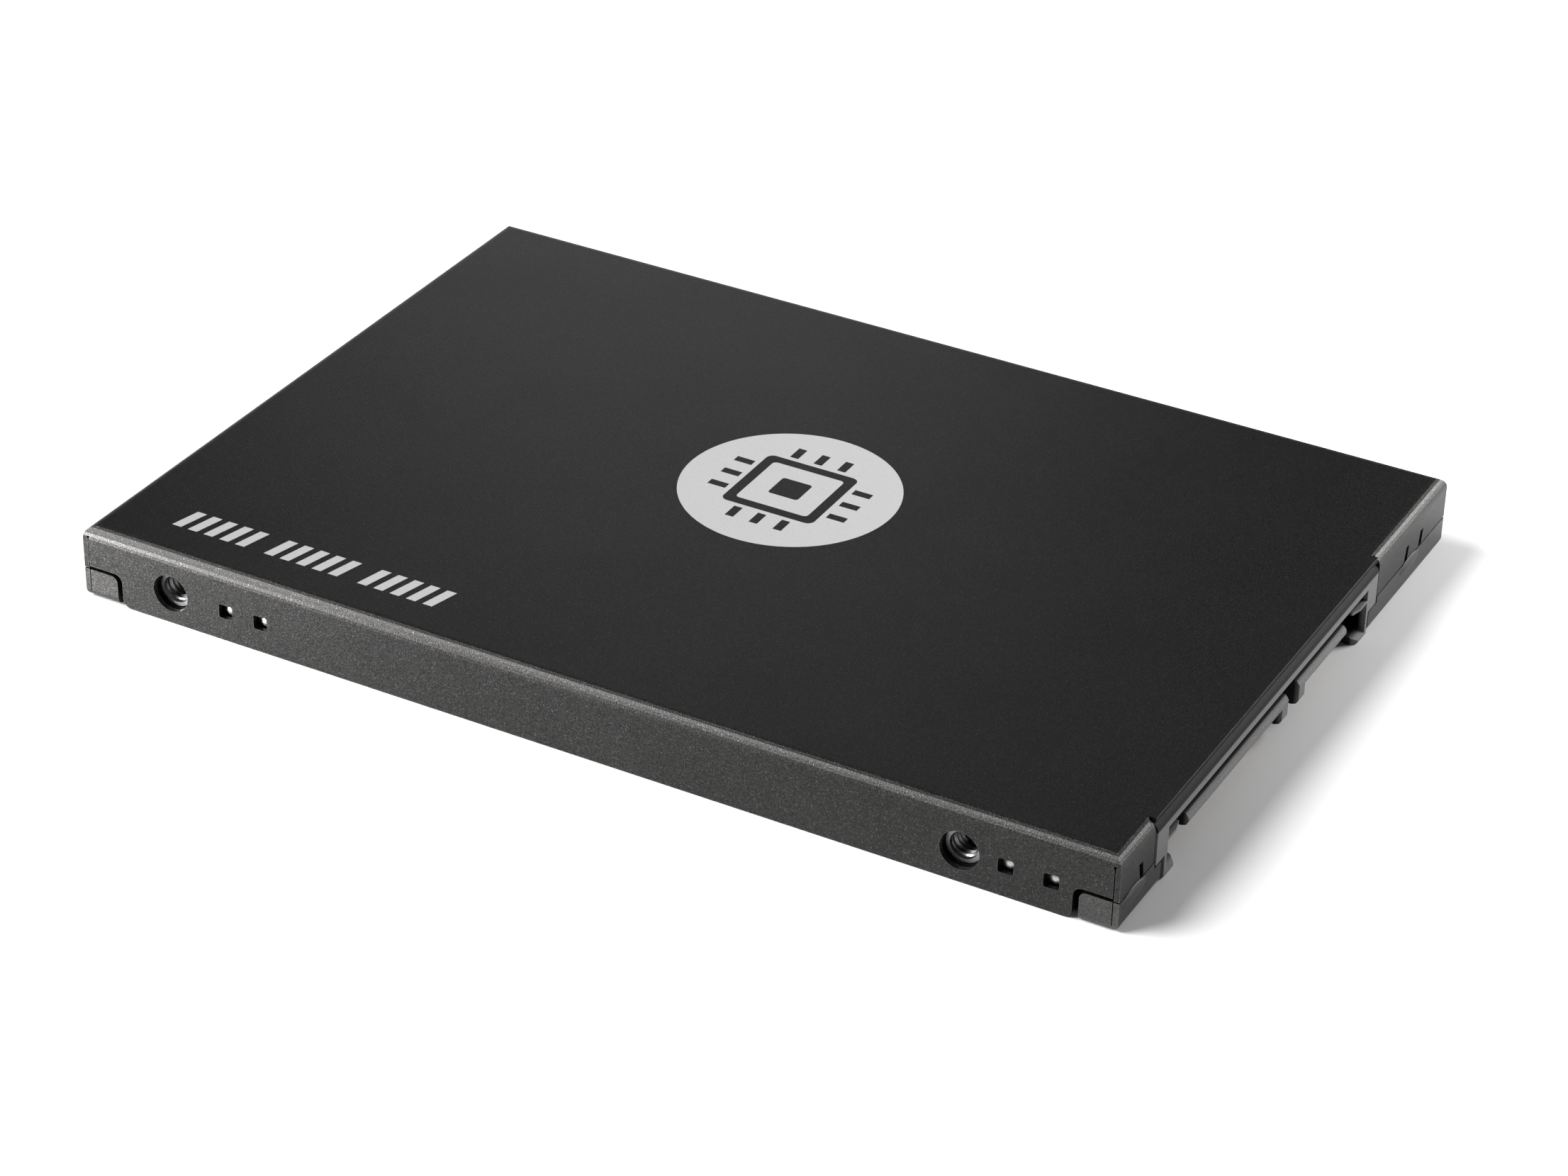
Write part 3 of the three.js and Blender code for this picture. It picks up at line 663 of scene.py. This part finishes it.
def frame_outline(bm, x0, x1, y0, y1):
    line = LEGEND_LINE
    sides = ((x0, x1, y0, y0 + line), (x0, x1, y1 - line, y1), (x0, x0 + line, y0, y1),
             (x1 - line, x1, y0, y1))
    for side in sides:
        prism(bm, rectangle(*side), *LEGEND)


def legend(bm):
    """White outlines round the packages with a dot at the first pin; nothing to read."""
    gap = LEGEND_GAP
    for x0, x1, y0, y1 in FOOTPRINTS.values():
        frame_outline(bm, x0 - gap, x1 + gap, y0 - gap, y1 + gap)
        dot = circle(x0 - FIRST_PIN["left"], y1 + FIRST_PIN["above"], FIRST_PIN["radius"], 12)
        prism(bm, dot, *LEGEND)


piece("board_legend", mesh_from(legend, "board_legend"), SILK, "base")


SCREW_PAD = (2.35, 1.2)  # outer and inner radius


def screw_pads():
    outlines = []
    for x, y in SCREWS:
        outlines += [circle(x, y, radius, 40) for radius in SCREW_PAD]
    return filled(outlines, "screw_pads", *LEGEND)


piece("screw_pads", screw_pads(), TIN, "base")


def slab(bm, x, y, length, width, z0, z1, turned):
    half = (width / 2, length / 2) if turned else (length / 2, width / 2)
    prism(bm, rectangle(x - half[0], x + half[0], y - half[1], y + half[1]), z0, z1)


ROW_CHANCE = {1.3: 0.5, 2.7: 0.3}  # distance of a row from its package, and how full it is
SPOT_START = 0.5
SPOT_PITCH = 1.15
SPOT_GAP = 1.5
SPOT_ROOM = 0.85
LARGE_CHANCE = 0.35
RESISTOR_STEP = 3  # every third part is a resistor, the others are capacitors
CHIP_SIZE = {True: (1.6, 0.8, 0.55), False: (1.0, 0.55, 0.4)}  # large or not: length, width, height
CHIP_BODY = 0.62  # the body's share of the length
CHIP_END = {"place": 0.4, "share": 0.22, "wider": 0.04, "higher": 0.02}  # the first two are shares too
CHIP_FOOT = {"past": 0.12, "length": 0.26, "wider": 0.1, "height": 0.1}  # solder beyond each end


def rows_beside(x0, x1, y0, y1, offset):
    """Four rows round a package: whether the parts are turned, the fixed coordinate, and from and to."""
    return ((True, y0 - offset, x0, x1), (True, y1 + offset, x0, x1),
            (False, x0 - offset, y0, y1), (False, x1 + offset, y0, y1))


def small_places():
    """Spots for small parts in rows beside the packages."""
    places = []
    for box in FOOTPRINTS.values():
        for offset, chance in ROW_CHANCE.items():
            for turned, fixed, low, high in rows_beside(*box, offset):
                place = low + SPOT_START
                while place < high:
                    spot = (place, fixed) if turned else (fixed, place)
                    close = any(math.dist(spot, (px, py)) < SPOT_GAP for px, py, *_ in places)
                    if RNG.random() < chance and is_free(*spot, SPOT_ROOM) and not close:
                        places.append((*spot, turned, RNG.random() < LARGE_CHANCE))
                    place += SPOT_PITCH
    return places


SMALL = small_places()


def bodies(resistors):
    def build(bm):
        for i, (x, y, turned, large) in enumerate(SMALL):
            if (i % RESISTOR_STEP == 0) == resistors:
                length, width, height = CHIP_SIZE[large]
                slab(bm, x, y, length * CHIP_BODY, width, BOARD_TOP, BOARD_TOP + height, turned)
    return build


def terminals(bm):
    tin, foot = CHIP_END, CHIP_FOOT
    for x, y, turned, large in SMALL:
        length, width, height = CHIP_SIZE[large]
        top = BOARD_TOP + height + tin["higher"]
        for end in (-1, 1):
            shift = end * length * tin["place"]
            at = (x, y + shift) if turned else (x + shift, y)
            slab(bm, *at, length * tin["share"], width + tin["wider"], BOARD_TOP, top, turned)
            shift = end * (length / 2 + foot["past"])
            at = (x, y + shift) if turned else (x + shift, y)
            rim = BOARD_TOP + foot["height"]
            slab(bm, *at, foot["length"], width + foot["wider"], BOARD_TOP, rim, turned)


def soft_piece(name, builder, material, width):
    """A piece on the base with slightly rounded edges."""
    obj = piece(name, mesh_from(builder, name), material, "base")
    bevel = obj.modifiers.new("edges", "BEVEL")
    bevel.width = width * MM
    bevel.segments = 2
    bevel.limit_method = "ANGLE"


soft_piece("chip_capacitors", bodies(False), CERAMIC, 0.04)
soft_piece("chip_resistors", bodies(True), EPOXY, 0.03)
soft_piece("part_terminals", terminals, TIN, 0.04)


TAB_AND_FOOT = ((0.06, 1.0), (0.3, 0.12))  # half thickness and height
TAB_HALF = 1.1  # half their width


def capacitor_ends(bm):
    """Folded tin ends of the four large capacitors: an upright tab and a foot at each end."""
    for node in CAPACITORS:
        x0, x1, y0, y1 = FOOTPRINTS[node]
        middle = (y0 + y1) / 2
        for x in (x0, x1):
            for half, height in TAB_AND_FOOT:
                outline = rectangle(x - half, x + half, middle - TAB_HALF, middle + TAB_HALF)
                prism(bm, outline, BOARD_TOP, BOARD_TOP + height)


soft_piece("capacitor_ends", capacitor_ends, TIN, 0.03)


MARK_FILM = (-0.01, 0.006)  # from and to, about the package's top
POLARITY_BAR = {"from": 0.25, "to": 0.75, "margin": 0.2}
MEMORY_DOT = (1.0, 0.35)  # distance from the corner, and radius
REGULATOR_DOT = (0.7, 0.25)
MEMORY_BARS = {"start": 1.6, "shares": (0.62, 0.5, 0.4), "pitch": 1.5, "half": 0.3}


def package_marks(bm):
    """A first-pin dot and plain bars on the memory packages, a dot on the regulator, polarity bars."""
    for node, (x0, x1, y0, y1) in FOOTPRINTS.items():
        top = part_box(node)[1].z / MM
        film = [top + level for level in MARK_FILM]
        if node.startswith("capacitor"):
            bar, margin = POLARITY_BAR, POLARITY_BAR["margin"]
            prism(bm, rectangle(x0 + bar["from"], x0 + bar["to"], y0 + margin, y1 - margin), *film)
        elif node.startswith(("flash", "memory")):
            inset, radius = MEMORY_DOT
            prism(bm, circle(x0 + inset, y1 - inset, radius, 20), *film)
            start, half = x0 + MEMORY_BARS["start"], MEMORY_BARS["half"]
            for k, share in enumerate(MEMORY_BARS["shares"]):
                y = (y0 + y1) / 2 + MEMORY_BARS["start"] - MEMORY_BARS["pitch"] * k
                prism(bm, rectangle(start, start + (x1 - x0 - 2) * share, y - half, y + half), *film)
        elif node == "power_regulator":
            inset, radius = REGULATOR_DOT
            prism(bm, circle(x0 + inset, y1 - inset, radius, 16), *film)


piece("package_marks", mesh_from(package_marks, "package_marks"), ETCH, "base")


BALLS = {"pitch": 0.8, "inset": 0.4, "corner": 0.5, "radius": 0.2, "height": 0.1}


def solder_balls(bm):
    """The outer row of solder balls under each chip."""
    pitch, inset, corner = BALLS["pitch"], BALLS["inset"], BALLS["corner"]
    for node in BALL_PACKAGES:
        x0, x1, y0, y1 = FOOTPRINTS[node]
        spots = []
        for k in range(int((x1 - x0 - 2 * corner) / pitch) + 1):
            spots += [(x0 + corner + pitch * k, y0 + inset), (x0 + corner + pitch * k, y1 - inset)]
        for k in range(int((y1 - y0 - 2 * corner) / pitch) + 1):
            spots += [(x0 + inset, y0 + corner + pitch * k), (x1 - inset, y0 + corner + pitch * k)]
        for x, y in spots:
            prism(bm, circle(x, y, BALLS["radius"], 8), BOARD_TOP, BOARD_TOP + BALLS["height"])


piece("solder_balls", mesh_from(solder_balls, "solder_balls"), TIN, "base")


# ---- rear label: ruled fields and plain blocks, nothing to read ----
LABEL_FILM = (0.014, 0.03)
RULES_X = (-42.0, -20.0, 4.0, 22.0)
RULES_Y = (-16.0, -8.0, 8.0, 16.0)
RULE_HALF = 0.1
DASH_ROWS = (-20.5, -12.0, 12.0, 20.5)
DASH_SPAN = (-40.0, 16.0)
DASH_HALF = 0.55
DASH_LENGTH = (2.0, 6.0)
DASH_GAP = (0.8, 1.6)


def label_marks(bm):
    for y in RULES_Y:
        prism(bm, rectangle(RULES_X[0], RULES_X[-1], y - RULE_HALF, y + RULE_HALF), *LABEL_FILM)
    for x in RULES_X:
        prism(bm, rectangle(x - RULE_HALF, x + RULE_HALF, RULES_Y[0], RULES_Y[-1]), *LABEL_FILM)
    for y in DASH_ROWS:
        x = DASH_SPAN[0]
        while x < DASH_SPAN[1]:
            width = RNG.uniform(*DASH_LENGTH)
            prism(bm, rectangle(x, x + width, y - DASH_HALF, y + DASH_HALF), *LABEL_FILM)
            x += width + RNG.uniform(*DASH_GAP)


piece("label_marks", mesh_from(label_marks, "label_marks"), LABEL_INK, "base")


# ---- studio ----
FLOOR_RADIUS = 6000
FLOOR_DEPTH = 20.0


def floor():
    mesh = mesh_from(lambda bm: prism(bm, circle(0, 0, FLOOR_RADIUS, 64), -FLOOR_DEPTH, 0.0), "floor")
    mesh.transform(Matrix.Scale(MM, 4))
    s = Shader("floor_paper")
    s.set(Base_Color=s.mix(s.noise(30.0, 2.0), grey(0.71), grey(0.74)), Roughness=0.8)
    mesh.materials.append(s.mat)
    obj = bpy.data.objects.new("floor", mesh)
    bpy.context.scene.collection.objects.link(obj)


def softbox(name, place, aim, size, power):
    light = bpy.data.lights.new(name, "AREA")
    light.shape = "RECTANGLE"
    light.size, light.size_y = size
    light.energy = power
    obj = bpy.data.objects.new(name, light)
    bpy.context.scene.collection.objects.link(obj)
    obj.location = place
    obj.rotation_euler = (Vector(aim) - Vector(place)).to_track_quat("-Z", "Y").to_euler()
    obj.visible_camera = False


SKY = {"side": 0.12, "far_side": 0.0, "horizon": 0.5, "zenith": 0.36}  # brightness of its parts
SKY_SIDE = (0.0, 0.5)  # 2 * height + X, over which the side fades to the far side
SKY_HORIZON = (0.05, 0.14)  # height, from 0 at the horizon to 1 overhead, over which the horizon fades
SKY_ZENITH = (0.75, 0.95)  # height over which the zenith comes in


def sky():
    """A dim studio: pale along the horizon and overhead and nearly dark between, so flat tops stay dark."""
    world = bpy.data.worlds.new("studio")
    bpy.context.scene.world = world
    world.use_nodes = True
    tree = world.node_tree

    def node(kind, **inputs):
        made = tree.nodes.new(kind)
        for key, value in inputs.items():
            socket = made.inputs[key.replace("_", " ")]
            if isinstance(value, bpy.types.NodeSocket):
                tree.links.new(value, socket)
            else:
                socket.default_value = value
        return made

    def ramp(value, limits, first, last):
        return node("ShaderNodeMapRange", Value=value, From_Min=limits[0], From_Max=limits[1], To_Min=first,
                    To_Max=last).outputs[0]

    def mix(fac, a, b):
        return node("ShaderNodeMix", Factor=fac, A=a, B=b).outputs[0]

    coords = tree.nodes.new("ShaderNodeTexCoord")
    split = node("ShaderNodeSeparateXYZ", Vector=coords.outputs["Generated"])
    height = split.outputs["Z"]
    lean = tree.nodes.new("ShaderNodeMath")
    lean.operation = "MULTIPLY_ADD"
    tree.links.new(height, lean.inputs[0])
    lean.inputs[1].default_value = 2.0
    tree.links.new(split.outputs["X"], lean.inputs[2])
    side = ramp(lean.outputs[0], SKY_SIDE, SKY["side"], SKY["far_side"])
    low = ramp(height, SKY_HORIZON, 1.0, 0.0)
    high = ramp(height, SKY_ZENITH, 0.0, 1.0)
    sides = mix(low, side, SKY["horizon"])
    tree.links.new(mix(high, sides, SKY["zenith"]), tree.nodes["Background"].inputs["Color"])


def sun(name, towards, strength, spread):
    """A broad distant light, as even as a wall of softboxes."""
    light = bpy.data.lights.new(name, "SUN")
    light.energy = strength
    light.angle = math.radians(spread)
    obj = bpy.data.objects.new(name, light)
    bpy.context.scene.collection.objects.link(obj)
    obj.rotation_euler = (-Vector(towards)).to_track_quat("-Z", "Y").to_euler()


floor()
sky()
sun("key", towards=(-0.63, -0.34, 0.62), strength=6.9, spread=42)
softbox("left", (-0.115, -0.105, 0.004), aim=(-0.02, -0.035, 0.004), size=(0.03, 0.006), power=0.36)
softbox("right", (0.12, 0.12, 0.06), aim=(0.055, 0.03, 0.003), size=(0.08, 0.04), power=0.27)
softbox("back", (-0.14, 0.225, 0.09), aim=(-0.02, 0.01, 0.007), size=(0.13, 0.08), power=0.044)


# ---- camera ----
CAMERA_PLACE = (151.795, -283.209, 193.284)
CAMERA_TURN = (118.0404, -31.2877, 1.4236)  # yaw, pitch and roll in degrees
LENS = 96.19
SENSOR = 36.0


def camera():
    yaw, pitch, roll = (math.radians(a) for a in CAMERA_TURN)
    view = Vector((math.cos(pitch) * math.cos(yaw), math.cos(pitch) * math.sin(yaw), math.sin(pitch)))
    right = view.cross(Vector((0, 0, 1))).normalized()
    up = right.cross(view)
    across = right * math.cos(roll) + up * math.sin(roll)
    above = up * math.cos(roll) - right * math.sin(roll)
    data = bpy.data.cameras.new("camera")
    data.sensor_width = SENSOR
    data.lens = LENS
    data.clip_start = 0.01
    data.clip_end = 50.0
    obj = bpy.data.objects.new("camera", data)
    bpy.context.scene.collection.objects.link(obj)
    turn = Matrix((across, above, -view)).transposed().to_4x4()
    obj.matrix_world = Matrix.Translation(Vector(CAMERA_PLACE) * MM) @ turn
    bpy.context.scene.camera = obj


camera()
bpy.context.scene.view_settings.view_transform = "Standard"
